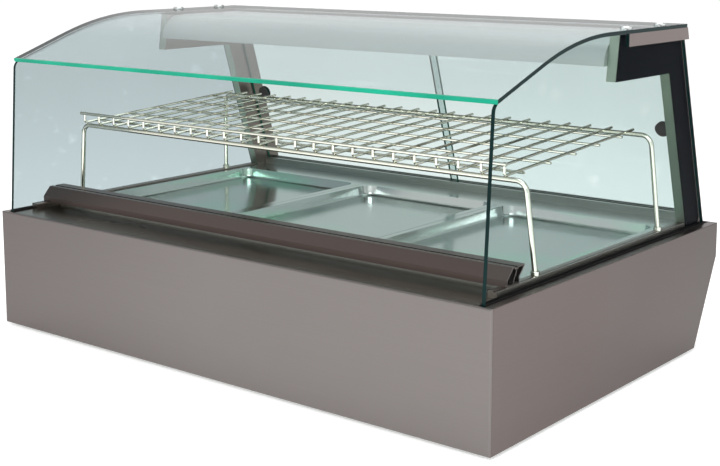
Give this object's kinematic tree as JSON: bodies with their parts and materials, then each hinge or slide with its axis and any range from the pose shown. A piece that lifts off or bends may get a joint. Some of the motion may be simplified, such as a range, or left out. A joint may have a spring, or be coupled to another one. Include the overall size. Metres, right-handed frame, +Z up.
{
  "type": "heated food display",
  "caption": "Self-service heated display with a slant-backed base, pans, wire rack, open glass front, glass sides and sliding doors behind.",
  "frame": {"origin": "middle of the whole object's outline seen from above, on the surface that its feet stand on", "axes": "+X to the customer's right, +Y from the customer's side to the server's side, +Z up"},
  "size_m": [1.06, 0.733, 0.569],
  "materials": {
    "black_mask": "black",
    "black_rubber": "black",
    "bracket_aluminium": "satin taupe",
    "bright_steel": "bright",
    "bright_wire": "bright",
    "clamp_aluminium": "anodised taupe",
    "clear_glass": "clear, green edges",
    "control_plastic": "black",
    "dark_aluminium": "anodised dark taupe",
    "dark_plastic": "black",
    "door_glass": "clear, green edges",
    "element_sheath": "heat darkened",
    "heater_quartz": "frosted",
    "lamp_lens": "amber",
    "light_aluminium": "satin",
    "light_glass": "opal",
    "mineral_wool": "fibrous",
    "pale_plastic": "off white",
    "pan_steel": "polished",
    "plain_steel": "satin",
    "rocker_plastic": "black",
    "satin_casing": "satin, warm taupe grey",
    "shaft_brass": "plain",
    "shoe_plastic": "grey"
  },
  "bodies": {
    "cabinet": {"base_floor": "plain_steel", "bottom_track": "light_aluminium", "cable_gland": "control_plastic", "canopy": "light_aluminium", "corner_posts": "plain_steel", "deck": "plain_steel", "element_rests": "plain_steel", "feet": "black_rubber", "front_panel": "satin_casing", "front_rail": "dark_aluminium", "glass_fixings": "bright_wire", "glass_gaskets": "black_rubber", "glass_mask_left": "black_mask", "glass_mask_right": "black_mask", "heat_tubes": "heater_quartz", "heating_elements": "element_sheath", "insulation_mat": "mineral_wool", "leg_sockets": "bright_wire", "light_holders": "pale_plastic", "light_tube": "light_glass", "mat_bearers": "plain_steel", "pan_bars": "plain_steel", "panel_screws": "plain_steel", "pilot_lamp": "lamp_lens", "rear_fascia": "satin_casing", "rear_panel": "satin_casing", "reflector": "bright_steel", "side_clamp_left": "clamp_aluminium", "side_clamp_right": "clamp_aluminium", "side_glass_left": "clear_glass", "side_glass_right": "clear_glass", "side_panel_left": "satin_casing", "side_panel_right": "satin_casing", "switch_housings": "control_plastic", "terminal_block": "pale_plastic", "thermostat": "control_plastic", "top_bracket_left": "bracket_aluminium", "top_bracket_right": "bracket_aluminium", "top_glass": "clear_glass", "top_track": "light_aluminium", "tube_holders": "pale_plastic", "upright_left": "bracket_aluminium", "upright_right": "bracket_aluminium", "well_liner": "bright_steel"},
    "left_door": {"door_left": "door_glass", "door_shoe_left": "shoe_plastic", "door_pull_left": "dark_plastic"},
    "right_door": {"door_right": "door_glass", "door_shoe_right": "shoe_plastic", "door_pull_right": "dark_plastic"},
    "left_pan": {"pan_left": "pan_steel"},
    "centre_pan": {"pan_centre": "pan_steel"},
    "right_pan": {"pan_right": "pan_steel"},
    "rack": {"rack_grid": "bright_wire", "rack_rod_front": "bright_wire", "rack_rod_back": "bright_wire"},
    "knob": {"thermostat_knob": "control_plastic", "thermostat_shaft": "shaft_brass"},
    "heat_rocker": {"rocker_heat": "rocker_plastic"},
    "light_rocker": {"rocker_light": "rocker_plastic"}
  },
  "joints": [
    {"name": "left_door_slide", "type": "slide", "parent": "cabinet", "child": "left_door", "axis": [1, 0, 0], "range_m": [0, 0.46]},
    {"name": "right_door_slide", "type": "slide", "parent": "cabinet", "child": "right_door", "axis": [-1, 0, 0], "range_m": [0, 0.46]},
    {"name": "left_pan_lift", "type": "slide", "parent": "cabinet", "child": "left_pan", "axis": [0, 0, 1], "range_m": [0, 0.03]},
    {"name": "centre_pan_lift", "type": "slide", "parent": "cabinet", "child": "centre_pan", "axis": [0, 0, 1], "range_m": [0, 0.03]},
    {"name": "right_pan_lift", "type": "slide", "parent": "cabinet", "child": "right_pan", "axis": [0, 0, 1], "range_m": [0, 0.03]},
    {"name": "rack_lift", "type": "slide", "parent": "cabinet", "child": "rack", "axis": [0, 0, 1], "range_m": [0, 0.06]},
    {"name": "knob_turn", "type": "hinge", "parent": "cabinet", "child": "knob", "pos_m": [-0.33, 0.3505, 0.1845], "axis": [0, 1, 0], "range_deg": [0, 270]},
    {"name": "heat_rocker_tilt", "type": "hinge", "parent": "cabinet", "child": "heat_rocker", "pos_m": [-0.39, 0.3465, 0.1845], "axis": [-1, 0, 0], "range_deg": [0, 14]},
    {"name": "light_rocker_tilt", "type": "hinge", "parent": "cabinet", "child": "light_rocker", "pos_m": [-0.43, 0.3465, 0.1845], "axis": [-1, 0, 0], "range_deg": [0, 14]}
  ]
}
